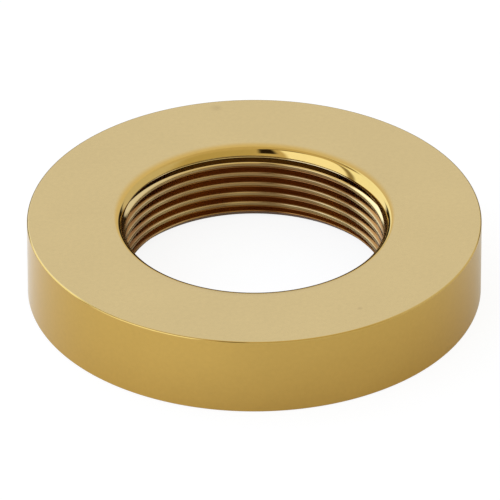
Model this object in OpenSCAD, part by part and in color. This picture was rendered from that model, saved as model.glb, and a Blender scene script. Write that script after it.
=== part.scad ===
// Faucet handle flange: a turned brass ring that screws onto the neck of a valve body
// and trims the hole under the handle. The ring stands on its flat underside, z = 0,
// and its axis is the Z axis. All sizes are in millimetres.

/* [Ring] */
// Outer diameter of the ring
outer_d = 58.5; // [48:0.5:80]
// Height of the ring from its underside to its top face
height = 10.5; // [6:0.5:16]
// Radius of the small rounding on the two outer edges
edge_round = 0.2; // [0.1:0.05:1]

/* [Lip] */
// Radius of the rounding where the top face turns into the bore
lip_round = 0.6; // [0.3:0.1:1.2]
// Depth of the plain bore under the top face, above the first thread
lip_depth = 1.5; // [1.2:0.1:2.5]
// Step from the thread's crest out to the plain bore, measured on the radius
lip_step = 0.4; // [0.1:0.1:0.7]

/* [Thread] */
// Nominal diameter of the thread, at the bottom of its groove
thread_d = 35; // [30:0.5:42]
// Pitch of the right-hand thread
thread_pitch = 1.5; // [1:0.25:2]
// Angle over which the thread's last turn runs out to nothing
runout_angle = 60; // [30:10:120]
// How far the chamfer at the underside opens past the groove, measured on the radius
mouth_over = 0.35; // [0.1:0.05:1]

/* [Hidden] */

// Facets to a full turn
$fn = 120;

// A 60 degree thread: the groove is a V whose bottom is cut flat at an eighth of the
// pitch, and whose mouth leaves a crest of a quarter of the pitch.
half_angle = 30;
thread_depth = 5 / 8 * cos(half_angle) * thread_pitch;
root_flat = thread_pitch / 8;

outer_r = outer_d / 2;
major_r = thread_d / 2;
crest_r = major_r - thread_depth;
lip_r = crest_r + lip_step;
mouth_r = major_r + mouth_over;

// Cutters reach this far past the surface that they cut
spare = 0.2;
// The groove's cutter starts this far inside the crest, where two turns still stay apart
cutter_inset = 0.15 * thread_pitch;

// The groove is a sweep of short straight pieces, so many to the turn
steps_per_turn = 60;
step_angle = 360 / steps_per_turn;
// At this angle the groove's centre is level with the foot of the plain bore
level_angle = 90;
// The full groove goes on this far past the level angle before it runs out
full_angle = 80;
top_z = height - lip_depth;
start_steps = ceil((top_z + thread_pitch) / thread_pitch * steps_per_turn);
full_steps = floor(full_angle / step_angle);
runout_steps = ceil(runout_angle / step_angle);

brass = "#c9a552";

// Half the width of the groove at a given radius
function half_width(r) = root_flat / 2 + (major_r - r) * tan(half_angle);

// How far the groove's cutter has drawn back from the wall at a step of the sweep
function draw_back(step) = max(0, step - full_steps) / runout_steps * (thread_depth + spare);

// The four corners of the groove's cutter at a step, counted from the level angle
function groove_corners(step) =
    let (
        angle = level_angle + step * step_angle,
        z = top_z + step / steps_per_turn * thread_pitch,
        back = draw_back(step),
        inner_r = crest_r - cutter_inset,
        mouth = half_width(inner_r)
    )
    [
        for (p = [[inner_r, -mouth], [major_r, -root_flat / 2], [major_r, root_flat / 2], [inner_r, mouth]])
            [(p[0] - back) * cos(angle), (p[0] - back) * sin(angle), z + p[1]]
    ];

// The helical groove as one solid sweep, from below the underside up to its run-out
module thread_groove() {
    steps = [-start_steps : full_steps + runout_steps];
    points = [for (step = steps) each groove_corners(step)];
    sections = start_steps + full_steps + runout_steps + 1;
    corners = 4;
    sides = [
        for (i = [0 : sections - 2], k = [0 : corners - 1])
            let (
                a = i * corners + k,
                b = i * corners + (k + 1) % corners,
                c = a + corners,
                d = b + corners
            )
            each [[a, b, c], [b, d, c]]
    ];
    last = (sections - 1) * corners;
    polyhedron(
        points = points,
        faces = concat([[3, 2, 1, 0]], sides, [[last, last + 1, last + 2, last + 3]]),
        convexity = 10
    );
}

// What a rounded outer corner takes off a square one: the corner is at the origin and
// the material lies towards -X and -Y
module corner_cut(radius) {
    difference() {
        translate([-radius, -radius])
            square(radius + spare);
        translate([-radius, -radius])
            circle(r = radius);
    }
}

// Half of the ring's section, without the thread's groove
module section() {
    difference() {
        translate([crest_r, 0])
            square([outer_r - crest_r, height]);
        // plain bore of the lip, and the cone that leads from it to the crest
        polygon([
            [crest_r - spare, height + spare],
            [lip_r, height + spare],
            [lip_r, top_z],
            [crest_r - spare, top_z - lip_step - spare]
        ]);
        // rounding of the lip
        translate([lip_r, height])
            mirror([1, 0])
                corner_cut(lip_round);
        // rounding of the two outer edges
        translate([outer_r, height])
            corner_cut(edge_round);
        translate([outer_r, 0])
            mirror([0, 1])
                corner_cut(edge_round);
        // chamfer of the thread's mouth at the underside
        polygon([
            [crest_r - spare, -spare],
            [mouth_r + spare, -spare],
            [crest_r - spare, mouth_r - crest_r + spare]
        ]);
    }
}

// The whole flange: one turned piece
module flange() {
    color(brass)
        difference() {
            rotate_extrude()
                section();
            thread_groove();
        }
}

flange();
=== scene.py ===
import math

import bpy
from mathutils import Matrix, Vector


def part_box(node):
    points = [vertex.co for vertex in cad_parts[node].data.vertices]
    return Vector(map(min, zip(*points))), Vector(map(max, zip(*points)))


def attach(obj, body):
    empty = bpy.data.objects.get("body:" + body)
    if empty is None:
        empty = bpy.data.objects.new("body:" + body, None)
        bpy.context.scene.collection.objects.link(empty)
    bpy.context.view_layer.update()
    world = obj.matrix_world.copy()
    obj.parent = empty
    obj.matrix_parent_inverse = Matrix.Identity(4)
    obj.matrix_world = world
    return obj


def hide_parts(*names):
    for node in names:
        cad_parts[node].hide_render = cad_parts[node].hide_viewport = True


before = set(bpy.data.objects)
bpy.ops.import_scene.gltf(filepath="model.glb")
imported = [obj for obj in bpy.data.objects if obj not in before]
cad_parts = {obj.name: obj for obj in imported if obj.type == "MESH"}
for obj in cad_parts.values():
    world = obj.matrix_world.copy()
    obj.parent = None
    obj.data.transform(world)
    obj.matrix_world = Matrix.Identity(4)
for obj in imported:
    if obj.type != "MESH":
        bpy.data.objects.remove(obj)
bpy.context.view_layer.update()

MM = 0.001
TURN = 2 * math.pi

# The ring's sizes, in metres. The outer radius and the height are read from the frame.
LOW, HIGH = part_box("flange")
OUTER_R = HIGH.x
HEIGHT = HIGH.z
EDGE_ROUND = 0.2 * MM
PITCH = 1.5 * MM
ROOT_R = 17.5 * MM
HALF_ANGLE = math.radians(30)
THREAD_DEPTH = 5 / 8 * math.cos(HALF_ANGLE) * PITCH
CREST_R = ROOT_R - THREAD_DEPTH
ROOT_FLAT = PITCH / 8
GROOVE_HALF = ROOT_FLAT / 2 + THREAD_DEPTH * math.tan(HALF_ANGLE)
MOUTH_R = ROOT_R + 0.35 * MM
CORNER_ROUND = 0.1 * MM
# The groove's centre is this high at the level angle, stays full over the second angle
# and runs out over the third
GROOVE_LEVEL = HEIGHT - 1.5 * MM
LEVEL_ANGLE = math.radians(90)
FULL_ANGLE = math.radians(80)
RUNOUT_ANGLE = math.radians(60)
# In its run-out the groove draws back by this share of its depth, so that it ends inside the wall
RUNOUT_DRAW = 1.25
# The lip, from the flat top down: a buffed shoulder that falls away very little, a tight
# rounding, and a flank that curves more slowly down to the thread's crest
SHOULDER_R = 18.9 * MM
SHOULDER_SLOPE = 4.0
ROUNDING = 0.68 * MM
FLANK_SLOPE = 45.0
FLANK_BEND = 2.4 * MM

COLUMNS = 384
ROWS_PER_PITCH = 24


def sine(degrees):
    return math.sin(math.radians(degrees))


def cosine(degrees):
    return math.cos(math.radians(degrees))


# Where the rounding ends and the flank begins, both at the flank's slope. The arcs' centres,
# the shoulder's bend and the heights follow from it.
FLANK_R = 17.262 * MM
FLANK_CENTRE_R = FLANK_R + FLANK_BEND * sine(FLANK_SLOPE)
ROUNDING_CENTRE_R = FLANK_R + ROUNDING * sine(FLANK_SLOPE)
SHOULDER_BEND = (SHOULDER_R - ROUNDING_CENTRE_R) / sine(SHOULDER_SLOPE) + ROUNDING
SHOULDER_DROP = SHOULDER_BEND * (1 - cosine(SHOULDER_SLOPE))
FLANK_TOP = HEIGHT - SHOULDER_DROP - ROUNDING * (cosine(SHOULDER_SLOPE) - cosine(FLANK_SLOPE))
FLANK_CENTRE_Z = FLANK_TOP - FLANK_BEND * cosine(FLANK_SLOPE)

# Base colours: the polished brass; its satin top face, whose paler tone is partly a painted reflection; a
# painted highlight on the thread's first flank; the thread's lands;
# the tarnish and painted shade in its grooves; and painted shade under the lip
POLISHED = (0.60, 0.395, 0.105, 1.0)
SATIN_AND_SHEEN = (0.625, 0.485, 0.235, 1.0)
PAINTED_FLANK_HIGHLIGHT = (0.76, 0.56, 0.25, 1.0)
LANDS = (0.56, 0.42, 0.19, 1.0)
GROOVE_TARNISH_AND_SHADE = (0.36, 0.17, 0.045, 1.0)
DARK_TARNISH = (0.20, 0.075, 0.03, 1.0)
SHADE_UNDER_LIP = (0.10, 0.05, 0.012, 1.0)
MARK = (0.30, 0.21, 0.10, 1.0)
# Small marks on the top face: x and y in millimetres from the axis, size and strength
TOP_MARKS = ((-4.95, 27.1, 1.1, 0.22), (13.4, -21.3, 0.5, 0.25))


def arc(centre, radius, start, end, steps):
    """Points of an arc in the section, with the angles in degrees."""
    angles = [math.radians(start + (end - start) * i / steps) for i in range(steps + 1)]
    return [(centre[0] + radius * math.cos(a), centre[1] + radius * math.sin(a)) for a in angles]


def section_outline():
    """The ring's section as (radius, height, screwed) rows, once round."""
    near = 0.02 * MM
    rows = []
    outer_flat = OUTER_R - EDGE_ROUND

    def add(points, screwed=0.0):
        rows.extend((r, z, screwed) for r, z in points)

    turns = math.ceil(FLANK_TOP / PITCH) + 1
    step = PITCH / ROWS_PER_PITCH
    add([(MOUTH_R, 0.0)])
    add([(CREST_R, (i - ROWS_PER_PITCH) * step) for i in range(turns * ROWS_PER_PITCH + 1)], 1.0)
    rounding_centre = (ROUNDING_CENTRE_R, FLANK_TOP - ROUNDING * cosine(FLANK_SLOPE))
    add(arc(rounding_centre, ROUNDING, 90 + FLANK_SLOPE, 90 + SHOULDER_SLOPE, 16)[1:])
    shoulder_centre = (SHOULDER_R, HEIGHT - SHOULDER_BEND)
    add(arc(shoulder_centre, SHOULDER_BEND, 90 + SHOULDER_SLOPE, 90, 8)[1:])
    add([(SHOULDER_R + (outer_flat - SHOULDER_R) * i / 6, HEIGHT) for i in range(1, 6)])
    add([(outer_flat - near, HEIGHT)])
    add(arc((outer_flat, HEIGHT - EDGE_ROUND), EDGE_ROUND, 90, 0, 10))
    add([(OUTER_R, HEIGHT - EDGE_ROUND - near), (OUTER_R, HEIGHT / 2), (OUTER_R, EDGE_ROUND + near)])
    add(arc((outer_flat, EDGE_ROUND), EDGE_ROUND, 0, -90, 8))
    add([(outer_flat - near, 0.0), ((MOUTH_R + outer_flat) / 2, 0.0), (MOUTH_R + near, 0.0)])
    add([(MOUTH_R, 0.0)])
    return rows


def outline_object():
    rows = section_outline()
    mesh = bpy.data.meshes.new("section_outline")
    mesh.from_pydata([(r, 0.0, z) for r, z, _ in rows], [(i, i + 1) for i in range(len(rows) - 1)], [])
    screwed = mesh.attributes.new("screwed", "FLOAT", "POINT")
    screwed.data.foreach_set("value", [s for _, _, s in rows])
    obj = bpy.data.objects.new("flange_ring", mesh)
    bpy.context.scene.collection.objects.link(obj)
    return obj


class Sums:
    """Short words for the arithmetic nodes of one tree."""

    def __init__(self, tree):
        self.tree = tree

    def node(self, kind, **settings):
        made = self.tree.nodes.new(kind)
        for name, value in settings.items():
            setattr(made, name, value)
        return made

    def feed(self, socket, value):
        if isinstance(value, bpy.types.NodeSocket):
            self.tree.links.new(value, socket)
        else:
            socket.default_value = value

    def ramp(self, value, start, end):
        """0 before the start and 1 past the end, with soft ends."""
        made = self.node("ShaderNodeMapRange", interpolation_type="SMOOTHSTEP")
        self.feed(made.inputs["Value"], value)
        self.feed(made.inputs["From Min"], start)
        self.feed(made.inputs["From Max"], end)
        return made.outputs["Result"]

    def blend(self, factor, below, above):
        made = self.node("ShaderNodeMix", data_type="RGBA")
        self.feed(made.inputs[0], factor)
        self.feed(made.inputs[6], below)
        self.feed(made.inputs[7], above)
        return made.outputs[2]

    def math(self, operation, *values):
        made = self.node("ShaderNodeMath", operation=operation)
        for socket, value in zip(made.inputs, values):
            self.feed(socket, value)
        return made.outputs[0]

    def group(self, tree, point, values, label=""):
        """Places a shader group, with its point and its values set."""
        made = self.node("ShaderNodeGroup", node_tree=tree, label=label)
        self.feed(made.inputs["Point"], point)
        for name, value in values.items():
            made.inputs[name].default_value = value
        return made.outputs


WALL_SIZES = ("Pitch", "Crest Radius", "Root Radius", "Root Flat", "Mouth Radius", "Flank Radius",
              "Flank Height", "Flank Bend", "Groove Level", "Level Angle", "Full Angle",
              "Run-out Angle", "Corner Round")


def thread_wall_group():
    """The bore's wall radius at an angle and a height: crest, groove, mouth and lip."""
    tree = bpy.data.node_groups.new("thread wall", "GeometryNodeTree")
    for name in ("Angle", "Height") + WALL_SIZES:
        tree.interface.new_socket(name, in_out="INPUT", socket_type="NodeSocketFloat")
    tree.interface.new_socket("Radius", in_out="OUTPUT", socket_type="NodeSocketFloat")
    s = Sums(tree)
    given = s.node("NodeGroupInput").outputs
    out = s.node("NodeGroupOutput").inputs
    full_end = s.math("ADD", given["Level Angle"], given["Full Angle"])
    last = s.math("ADD", full_end, given["Run-out Angle"])
    angle = s.math("WRAP", given["Angle"], last, s.math("SUBTRACT", last, TURN))
    # height over the centre of the topmost turn, then over the centre of the nearest turn
    rise = s.math("MULTIPLY", s.math("SUBTRACT", angle, given["Level Angle"]), 1 / TURN)
    centre = s.math("MULTIPLY_ADD", rise, given["Pitch"], given["Groove Level"])
    over = s.math("SUBTRACT", given["Height"], centre)
    nearest = s.math("ROUND", s.math("DIVIDE", s.math("MULTIPLY", over, -1.0), given["Pitch"]))
    turn = s.math("MAXIMUM", nearest, 0.0)
    over = s.math("ABSOLUTE", s.math("MULTIPLY_ADD", turn, given["Pitch"], over))
    half_flat = s.math("MULTIPLY", given["Root Flat"], 0.5)
    flank = s.math("SMOOTH_MAX", s.math("SUBTRACT", over, half_flat), 0.0, given["Corner Round"])
    depth = s.math("DIVIDE", flank, math.tan(HALF_ANGLE))
    groove = s.math("SUBTRACT", given["Root Radius"], depth)
    topmost = s.math("LESS_THAN", turn, 0.5)
    spent = s.math("DIVIDE", s.math("SUBTRACT", angle, full_end), given["Run-out Angle"])
    spent = s.math("MULTIPLY", s.math("MAXIMUM", spent, 0.0), topmost)
    full_depth = s.math("SUBTRACT", given["Root Radius"], given["Crest Radius"])
    drawn = s.math("MULTIPLY", full_depth, RUNOUT_DRAW)
    groove = s.math("SUBTRACT", groove, s.math("MULTIPLY", spent, drawn))
    mouth = s.math("SUBTRACT", given["Mouth Radius"], given["Height"])
    # under its centre the flank's arc goes straight down, inside the crest, and cuts nothing
    above = s.math("MAXIMUM", s.math("SUBTRACT", given["Height"], given["Flank Height"]), 0.0)
    square = s.math("SUBTRACT", s.math("POWER", given["Flank Bend"], 2.0), s.math("POWER", above, 2.0))
    lip = s.math("SUBTRACT", given["Flank Radius"], s.math("SQRT", square))
    wall = s.math("SMOOTH_MAX", given["Crest Radius"], groove, given["Corner Round"])
    wall = s.math("SMOOTH_MAX", wall, mouth, given["Corner Round"])
    wall = s.math("SMOOTH_MAX", wall, lip, given["Corner Round"])
    s.feed(out["Radius"], wall)
    return tree


def turned_ring_tree():
    """Turns the section's outline about the axis; screwed rows follow the thread."""
    tree = bpy.data.node_groups.new("turned ring", "GeometryNodeTree")
    face = tree.interface
    face.new_socket("Geometry", in_out="INPUT", socket_type="NodeSocketGeometry")
    face.new_socket("Columns", in_out="INPUT", socket_type="NodeSocketInt")
    for name in WALL_SIZES + ("Wall Top",):
        face.new_socket(name, in_out="INPUT", socket_type="NodeSocketFloat")
    face.new_socket("Finish", in_out="INPUT", socket_type="NodeSocketMaterial")
    face.new_socket("Geometry", in_out="OUTPUT", socket_type="NodeSocketGeometry")
    s = Sums(tree)
    given = s.node("NodeGroupInput").outputs
    out = s.node("NodeGroupOutput").inputs
    count = s.node("GeometryNodeAttributeDomainSize", component="MESH")
    s.feed(count.inputs[0], given["Geometry"])
    rows = count.outputs["Point Count"]
    grid = s.node("GeometryNodeMeshGrid")
    s.feed(grid.inputs["Size X"], 1.0)
    s.feed(grid.inputs["Size Y"], 1.0)
    s.feed(grid.inputs["Vertices X"], s.math("ADD", given["Columns"], 1.0))
    s.feed(grid.inputs["Vertices Y"], rows)
    place = s.node("ShaderNodeSeparateXYZ")
    s.feed(place.inputs[0], s.node("GeometryNodeInputPosition").outputs[0])
    angle = s.math("MULTIPLY", s.math("ADD", place.outputs["X"], 0.5), TURN)
    along = s.math("ADD", place.outputs["Y"], 0.5)
    row = s.math("ROUND", s.math("MULTIPLY", along, s.math("SUBTRACT", rows, 1.0)))

    def from_outline(kind, value):
        sample = s.node("GeometryNodeSampleIndex", data_type=kind, domain="POINT")
        s.feed(sample.inputs["Geometry"], given["Geometry"])
        s.feed(sample.inputs["Value"], value)
        s.feed(sample.inputs["Index"], row)
        return sample.outputs[0]

    point = s.node("ShaderNodeSeparateXYZ")
    s.feed(point.inputs[0], from_outline("FLOAT_VECTOR", s.node("GeometryNodeInputPosition").outputs[0]))
    flag = s.node("GeometryNodeInputNamedAttribute", data_type="FLOAT")
    flag.inputs["Name"].default_value = "screwed"
    screwed = from_outline("FLOAT", flag.outputs[0])
    climb = s.math("MULTIPLY", s.math("DIVIDE", angle, TURN), given["Pitch"])
    height = s.math("MULTIPLY_ADD", climb, screwed, point.outputs["Z"])
    clamped = s.math("MINIMUM", s.math("MAXIMUM", height, 0.0), given["Wall Top"])
    wall = s.node("GeometryNodeGroup", node_tree=thread_wall_group())
    s.feed(wall.inputs["Angle"], angle)
    s.feed(wall.inputs["Height"], clamped)
    for name in WALL_SIZES:
        s.feed(wall.inputs[name], given[name])

    def choose(plain, threaded):
        mix = s.node("ShaderNodeMix", data_type="FLOAT")
        s.feed(mix.inputs[0], screwed)
        s.feed(mix.inputs[2], plain)
        s.feed(mix.inputs[3], threaded)
        return mix.outputs[0]

    radius = choose(point.outputs["X"], wall.outputs["Radius"])
    height = choose(point.outputs["Z"], clamped)
    spot = s.node("ShaderNodeCombineXYZ")
    s.feed(spot.inputs["X"], s.math("MULTIPLY", radius, s.math("COSINE", angle)))
    s.feed(spot.inputs["Y"], s.math("MULTIPLY", radius, s.math("SINE", angle)))
    s.feed(spot.inputs["Z"], height)
    turned = s.node("GeometryNodeSetPosition")
    s.feed(turned.inputs["Geometry"], grid.outputs["Mesh"])
    s.feed(turned.inputs["Position"], spot.outputs[0])
    merged = s.node("GeometryNodeMergeByDistance")
    s.feed(merged.inputs["Geometry"], turned.outputs[0])
    s.feed(merged.inputs["Distance"], 0.001 * MM)
    # the outline runs up the bore and down the rim, which turns the grid's faces inwards
    outwards = s.node("GeometryNodeFlipFaces")
    s.feed(outwards.inputs["Mesh"], merged.outputs[0])
    smooth = s.node("GeometryNodeSetShadeSmooth", domain="FACE")
    s.feed(smooth.inputs["Geometry"], outwards.outputs[0])
    finish = s.node("GeometryNodeSetMaterial")
    real = s.node("GeometryNodeRealizeInstances")
    s.feed(real.inputs["Geometry"], smooth.outputs[0])
    s.feed(finish.inputs["Geometry"], real.outputs[0])
    s.feed(finish.inputs["Material"], given["Finish"])
    s.feed(out["Geometry"], finish.outputs[0])
    return tree


def set_inputs(modifier, values):
    for item in modifier.node_group.interface.items_tree:
        if item.item_type == "SOCKET" and item.in_out == "INPUT" and item.name in values:
            modifier[item.identifier] = values[item.name]


def make_ring(material):
    obj = outline_object()
    modifier = obj.modifiers.new("turned ring", "NODES")
    modifier.node_group = turned_ring_tree()
    set_inputs(modifier, {
        "Columns": COLUMNS,
        "Pitch": PITCH,
        "Crest Radius": CREST_R,
        "Root Radius": ROOT_R,
        "Root Flat": ROOT_FLAT,
        "Mouth Radius": MOUTH_R,
        "Flank Radius": FLANK_CENTRE_R,
        "Flank Height": FLANK_CENTRE_Z,
        "Flank Bend": FLANK_BEND,
        "Groove Level": GROOVE_LEVEL,
        "Level Angle": LEVEL_ANGLE,
        "Full Angle": FULL_ANGLE,
        "Run-out Angle": RUNOUT_ANGLE,
        "Corner Round": CORNER_ROUND,
        "Wall Top": FLANK_TOP,
        "Finish": material,
    })
    made = obj.evaluated_get(bpy.context.evaluated_depsgraph_get())
    mesh = bpy.data.meshes.new_from_object(made)
    obj.modifiers.clear()
    obj.data = mesh
    return obj


def group_tree(name, values, outputs):
    """A shader node group with value inputs, and its first vector input named Point."""
    tree = bpy.data.node_groups.new(name, "ShaderNodeTree")
    tree.interface.new_socket("Point", in_out="INPUT", socket_type="NodeSocketVector")
    for label in values:
        tree.interface.new_socket(label, in_out="INPUT", socket_type="NodeSocketFloat")
    for label in outputs:
        tree.interface.new_socket(label, in_out="OUTPUT", socket_type="NodeSocketFloat")
    s = Sums(tree)
    return s, s.node("NodeGroupInput").outputs, s.node("NodeGroupOutput").inputs


def from_axis(s, point):
    """A point's height, its distance from the axis and its angle round the axis."""
    axes = s.node("ShaderNodeSeparateXYZ")
    s.feed(axes.inputs[0], point)
    x, y = axes.outputs["X"], axes.outputs["Y"]
    radius = s.math("SQRT", s.math("ADD", s.math("MULTIPLY", x, x), s.math("MULTIPLY", y, y)))
    return axes.outputs["Z"], radius, s.math("ARCTAN2", y, x)


def finish_zones_group():
    """Where the top face is satin with a partly painted sheen, where the thread's first flank gets a painted
    highlight, where shade is painted under the lip and in the grooves, and where the thread is tarnished.
    """
    s, given, out = group_tree(
        "finish zones",
        ("Lip Radius", "Shoulder Radius", "Edge Radius", "Top Height", "Bore Radius", "Crest Radius",
         "Groove Depth", "Groove Level", "Groove Half Width", "Pitch", "Level Angle", "Run-out End",
         "Soft Edge"),
        ("Satin And Sheen", "Bright", "Lip Shade", "Tarnish", "Groove"),
    )
    height, radius, angle = from_axis(s, given["Point"])
    soft = given["Soft Edge"]
    # the satin top's paler tone, partly a painted reflection, fades into the polished brass over the
    # shoulder, widely at the back of the bore and narrowly at its front
    back = s.math("MULTIPLY_ADD", s.ramp(s.math("SINE", angle), -0.35, 0.75), 0.85, 0.15)
    wide = s.math("SUBTRACT", given["Shoulder Radius"], given["Lip Radius"])
    inner = s.ramp(radius, given["Lip Radius"], s.math("MULTIPLY_ADD", wide, back, given["Lip Radius"]))
    outer = s.ramp(radius, given["Edge Radius"], s.math("SUBTRACT", given["Edge Radius"], soft))
    flat = s.ramp(height, s.math("SUBTRACT", given["Top Height"], soft), given["Top Height"])
    s.feed(out["Satin And Sheen"], s.math("MULTIPLY", s.math("MULTIPLY", inner, outer), flat))
    # height over the centre of the topmost groove, which climbs with the angle to its run-out
    end = given["Run-out End"]
    angle = s.math("WRAP", angle, end, s.math("SUBTRACT", end, TURN))
    turned = s.math("DIVIDE", s.math("SUBTRACT", angle, given["Level Angle"]), TURN)
    centre = s.math("MULTIPLY_ADD", turned, given["Pitch"], given["Groove Level"])
    over = s.math("SUBTRACT", height, centre)

    def below(value, limit):
        return s.ramp(value, s.math("ADD", limit, soft), s.math("SUBTRACT", limit, soft))

    half = given["Groove Half Width"]
    inside = below(radius, given["Bore Radius"])
    limits = (half, 0.0, s.math("MULTIPLY", half, -1.0))
    under_top, under_centre, under_groove = (
        s.math("MULTIPLY", inside, below(over, limit)) for limit in limits
    )
    cut = s.ramp(radius, given["Crest Radius"], s.math("ADD", given["Crest Radius"], soft))
    deep = s.ramp(radius, given["Crest Radius"], s.math("ADD", given["Crest Radius"], given["Groove Depth"]))
    # painted highlight: the thread's first flank below the lip gets a paler base colour
    s.feed(out["Bright"], s.math("MULTIPLY", cut, s.math("SUBTRACT", under_centre, under_groove)))
    # painted shade: the upper half of the topmost groove, under the lip, is darkened
    s.feed(out["Lip Shade"], s.math("MULTIPLY", deep, s.math("SUBTRACT", under_top, under_centre)))
    s.feed(out["Tarnish"], under_groove)
    # the grooves' depths are darkened brown: tarnish with painted shade
    s.feed(out["Groove"], s.math("MULTIPLY", deep, under_groove))
    return s.tree


def turned_grain_group():
    """Fine rings left by turning, with a fine mottling and large soft clouds."""
    s, given, out = group_tree(
        "turned grain", ("Ring Scale", "Mottle Scale", "Cloud Scale"), ("Rings", "Mottle", "Cloud")
    )
    height, radius, _ = from_axis(s, given["Point"])
    rings = s.node("ShaderNodeTexNoise", noise_dimensions="1D")
    s.feed(rings.inputs["W"], s.math("ADD", radius, height))
    s.feed(rings.inputs["Scale"], given["Ring Scale"])
    rings.inputs["Detail"].default_value = 3.0
    s.feed(out["Rings"], rings.outputs["Fac"])
    for name, detail in (("Mottle", 4.0), ("Cloud", 2.0)):
        noise = s.node("ShaderNodeTexNoise")
        s.feed(noise.inputs["Vector"], given["Point"])
        s.feed(noise.inputs["Scale"], given[name + " Scale"])
        noise.inputs["Detail"].default_value = detail
        s.feed(out[name], noise.outputs["Fac"])
    return s.tree


def small_mark_group():
    """A soft round mark at a place on the surface."""
    s, given, out = group_tree("small mark", ("X", "Y", "Z", "Size"), ("Mark",))
    place = s.node("ShaderNodeCombineXYZ")
    for axis in "XYZ":
        s.feed(place.inputs[axis], given[axis])
    away = s.node("ShaderNodeVectorMath", operation="DISTANCE")
    s.feed(away.inputs[0], given["Point"])
    s.feed(away.inputs[1], place.outputs[0])
    s.feed(out["Mark"], s.ramp(away.outputs["Value"], given["Size"], 0.0))
    return s.tree


def brass_material():
    mat = bpy.data.materials.new("polished_brass")
    mat.use_nodes = True
    s = Sums(mat.node_tree)
    shader = mat.node_tree.nodes["Principled BSDF"]
    shader.inputs["Metallic"].default_value = 1.0
    point = s.node("ShaderNodeTexCoord").outputs["Object"]
    zones = s.group(finish_zones_group(), point, {
        "Lip Radius": 17.7 * MM,
        "Shoulder Radius": SHOULDER_R,
        "Edge Radius": OUTER_R - EDGE_ROUND * 0.6,
        "Top Height": HEIGHT - SHOULDER_DROP * 1.2,
        "Bore Radius": 18.0 * MM,
        "Crest Radius": CREST_R,
        "Groove Depth": 0.25 * MM,
        "Groove Level": GROOVE_LEVEL,
        "Groove Half Width": GROOVE_HALF,
        "Pitch": PITCH,
        "Level Angle": LEVEL_ANGLE,
        "Run-out End": LEVEL_ANGLE + FULL_ANGLE + RUNOUT_ANGLE,
        "Soft Edge": 0.1 * MM,
    })
    grain = s.group(turned_grain_group(), point, {
        "Ring Scale": 9000.0,
        "Mottle Scale": 1800.0,
        "Cloud Scale": 90.0,
    })
    colour = POLISHED
    # over the tarnish, these zones paint a paler sheen on the top, a highlight on the first flank, and shade
    # under the lip and in the grooves
    for zone, tint in (
        ("Satin And Sheen", SATIN_AND_SHEEN),
        ("Bright", PAINTED_FLANK_HIGHLIGHT),
        ("Lip Shade", SHADE_UNDER_LIP),
        ("Tarnish", LANDS),
        ("Groove", GROOVE_TARNISH_AND_SHADE),
    ):
        colour = s.blend(zones[zone], colour, tint)
    # the tarnish is darker in patches
    patches = s.math("MULTIPLY", s.ramp(grain["Cloud"], 0.45, 0.62), zones["Tarnish"])
    colour = s.blend(s.math("MULTIPLY", patches, 0.45), colour, DARK_TARNISH)
    mark_tree = small_mark_group()
    for x, y, size, strength in TOP_MARKS:
        mark = s.group(mark_tree, point, {"X": x * MM, "Y": y * MM, "Z": HEIGHT, "Size": size * MM})
        colour = s.blend(s.math("MULTIPLY", mark["Mark"], strength), colour, MARK)
    tone = s.math("MULTIPLY_ADD", s.math("SUBTRACT", grain["Mottle"], 0.5), 0.10, 1.0)
    tone = s.math("MULTIPLY_ADD", s.math("SUBTRACT", grain["Cloud"], 0.5), 0.08, tone)
    toned = s.node("ShaderNodeVectorMath", operation="SCALE")
    s.feed(toned.inputs[0], colour)
    s.feed(toned.inputs["Scale"], tone)
    s.feed(shader.inputs["Base Color"], toned.outputs[0])
    rough = s.math("MULTIPLY_ADD", zones["Satin And Sheen"], 0.07, 0.05)
    rough = s.math("MULTIPLY_ADD", zones["Tarnish"], 0.10, rough)
    rough = s.math("MULTIPLY_ADD", s.math("SUBTRACT", grain["Rings"], 0.5), 0.04, rough)
    s.feed(shader.inputs["Roughness"], rough)
    bump = s.node("ShaderNodeBump")
    bump.inputs["Strength"].default_value = 0.15
    bump.inputs["Distance"].default_value = 0.0005 * MM
    s.feed(bump.inputs["Height"], grain["Rings"])
    s.feed(shader.inputs["Normal"], bump.outputs[0])
    return mat


def make_camera():
    """A long lens, far away, at the photograph's viewing angle."""
    tilt = math.radians(32.4935)
    roll = math.radians(-0.0431)
    distance = 44.0823 * OUTER_R
    aim = Vector((-0.0189 * OUTER_R, 0.0251 * OUTER_R, HEIGHT / 2))
    away = Vector((0.0, -math.cos(tilt), math.sin(tilt)))
    data = bpy.data.cameras.new("camera")
    data.sensor_width = 36.0
    data.lens = 20 * data.sensor_width
    data.clip_start = 0.05
    data.clip_end = 20.0
    camera = bpy.data.objects.new("camera", data)
    camera.matrix_world = (
        Matrix.Translation(aim + away * distance)
        @ Matrix.Rotation(math.pi / 2 - tilt, 4, "X")
        @ Matrix.Rotation(roll, 4, "Z")
    )
    bpy.context.scene.collection.objects.link(camera)
    bpy.context.scene.camera = camera


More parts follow.
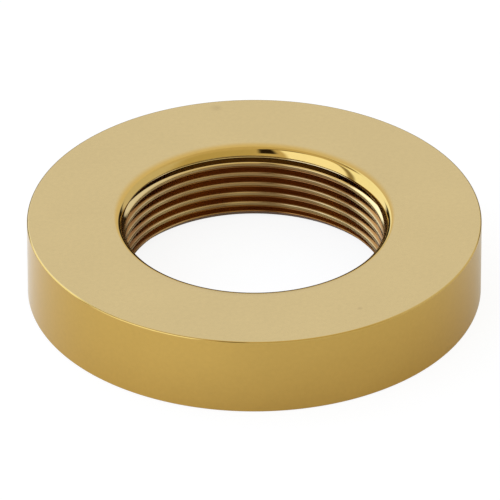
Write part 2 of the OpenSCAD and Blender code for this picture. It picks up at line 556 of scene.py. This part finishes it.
def make_floor():
    half = 0.6
    drop = 0.01 * MM
    mesh = bpy.data.meshes.new("floor")
    corners = ((-half, -half), (half, -half), (half, half), (-half, half))
    mesh.from_pydata([(x, y, -drop) for x, y in corners], [], [(0, 1, 2, 3)])
    floor = bpy.data.objects.new("floor", mesh)
    bpy.context.scene.collection.objects.link(floor)
    mat = bpy.data.materials.new("white_floor")
    mat.use_nodes = True
    tree = mat.node_tree
    tree.nodes.clear()
    s = Sums(tree)
    path = s.node("ShaderNodeLightPath").outputs
    seen = s.math("MAXIMUM", path["Is Camera Ray"], path["Is Transmission Ray"])
    # the metal sees the floor's own shade plus a painted glow, lighter outside the ring and to its left,
    # which brightens the rim's reflection of the floor
    _, radius, angle = from_axis(s, s.node("ShaderNodeNewGeometry").outputs["Position"])
    left = s.ramp(s.math("MULTIPLY", radius, s.math("COSINE", angle)), 10 * MM, -20 * MM)
    outside = s.ramp(radius, CREST_R, OUTER_R)
    painted_glow = s.math("MULTIPLY", outside, s.math("MULTIPLY_ADD", left, 0.12, 0.05))
    glow = s.math("MULTIPLY", path["Is Glossy Ray"], s.math("ADD", painted_glow, 0.04))
    # the camera sees it white, with a share of that shade, so that the ring's shadow stays
    glow = s.math("MULTIPLY_ADD", seen, 0.88, glow)
    plain = s.node("ShaderNodeBsdfDiffuse")
    s.feed(plain.inputs["Color"], s.blend(seen, (0.78, 0.74, 0.66, 1.0), (0.16, 0.16, 0.16, 1.0)))
    light = s.node("ShaderNodeEmission")
    s.feed(light.inputs["Strength"], glow)
    both = s.node("ShaderNodeAddShader")
    s.feed(both.inputs[0], plain.outputs[0])
    s.feed(both.inputs[1], light.outputs[0])
    s.feed(s.node("ShaderNodeOutputMaterial").inputs["Surface"], both.outputs[0])
    mesh.materials.append(mat)


PANEL_SIZES = ("Azimuth", "Elevation", "Half Width", "Half Height", "Softness")


def soft_panel_group():
    """How much of a soft-edged panel shows in a direction; all its angles are in degrees."""
    s, given, out = group_tree("soft panel", PANEL_SIZES, ("Cover",))
    axes = s.node("ShaderNodeSeparateXYZ")
    s.feed(axes.inputs[0], given["Point"])
    # azimuth is counted from straight behind the ring, +Y, towards the right, +X
    azimuth = s.math("DEGREES", s.math("ARCTAN2", axes.outputs["X"], axes.outputs["Y"]))
    elevation = s.math("DEGREES", s.math("ARCSINE", axes.outputs["Z"]))
    aside = s.math("WRAP", s.math("SUBTRACT", azimuth, given["Azimuth"]), 180.0, -180.0)
    above = s.math("SUBTRACT", elevation, given["Elevation"])
    cover = []
    for away, half in ((aside, given["Half Width"]), (above, given["Half Height"])):
        start = s.math("ADD", half, given["Softness"])
        end = s.math("SUBTRACT", half, given["Softness"])
        cover.append(s.ramp(s.math("ABSOLUTE", away), start, end))
    s.feed(out["Cover"], s.math("MULTIPLY", *cover))
    return s.tree


# The studio round the ring, painted in this order over the ceiling's light: azimuth,
# elevation, half width, half height and softness in degrees, how much it covers, colour
CEILING = (0.83, 0.79, 0.68, 1.0)
STUDIO = (
    ("right wall", 65, 20, 62, 34, 14, 1.0, (0.88, 0.93, 1.05)),
    ("front right", 145, 25, 38, 33, 12, 1.0, (0.72, 0.69, 0.52)),
    ("backdrop", 0, 38, 28, 14, 7, 1.0, (1.0, 1.0, 1.0)),
    ("front horizon", 165, 4, 30, 7, 4, 1.0, (0.80, 0.92, 1.10)),
    ("left panel", -49, 20, 41, 29, 3, 1.0, (1.52, 1.80, 2.40)),
    ("front left panel", -124, 24, 28, 33, 3, 1.0, (1.55, 1.78, 2.40)),
    ("gap between the panels", -92, 10, 4, 38, 3, 0.85, (0.35, 0.32, 0.25)),
    ("edge of the left panel", -32, 53, 20, 3, 2, 0.75, (0.15, 0.12, 0.07)),
    ("edge of the front left panel", -138, 66, 28, 5, 4, 0.75, (0.15, 0.12, 0.07)),
    ("dark gap in front", -168, 47, 8, 15, 3, 1.0, (0.03, 0.02, 0.01)),
    ("dark gap behind", 0, 6, 42, 17, 4, 1.0, (0.025, 0.018, 0.012)),
)


def make_world():
    world = bpy.data.worlds.new("studio")
    world.use_nodes = True
    tree = world.node_tree
    tree.nodes.clear()
    s = Sums(tree)
    direction = s.node("ShaderNodeTexCoord").outputs["Generated"]
    panel_tree = soft_panel_group()
    colour = CEILING
    for name, *sizes, cover, tint in STUDIO:
        panel = s.group(panel_tree, direction, dict(zip(PANEL_SIZES, sizes)), label=name)
        colour = s.blend(s.math("MULTIPLY", panel["Cover"], cover), colour, tint + (1.0,))
    around = s.node("ShaderNodeBackground")
    s.feed(around.inputs["Color"], colour)
    white = s.node("ShaderNodeBackground")
    white.inputs["Color"].default_value = (1.0, 1.0, 1.0, 1.0)
    path = s.node("ShaderNodeLightPath").outputs
    mix = s.node("ShaderNodeMixShader")
    s.feed(mix.inputs[0], s.math("MAXIMUM", path["Is Camera Ray"], path["Is Transmission Ray"]))
    s.feed(mix.inputs[1], around.outputs[0])
    s.feed(mix.inputs[2], white.outputs[0])
    s.feed(s.node("ShaderNodeOutputWorld").inputs["Surface"], mix.outputs[0])
    bpy.context.scene.world = world


make_camera()
ring = make_ring(brass_material())
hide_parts("flange")
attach(ring, "root")
make_floor()
make_world()
bpy.context.scene.view_settings.view_transform = "Standard"
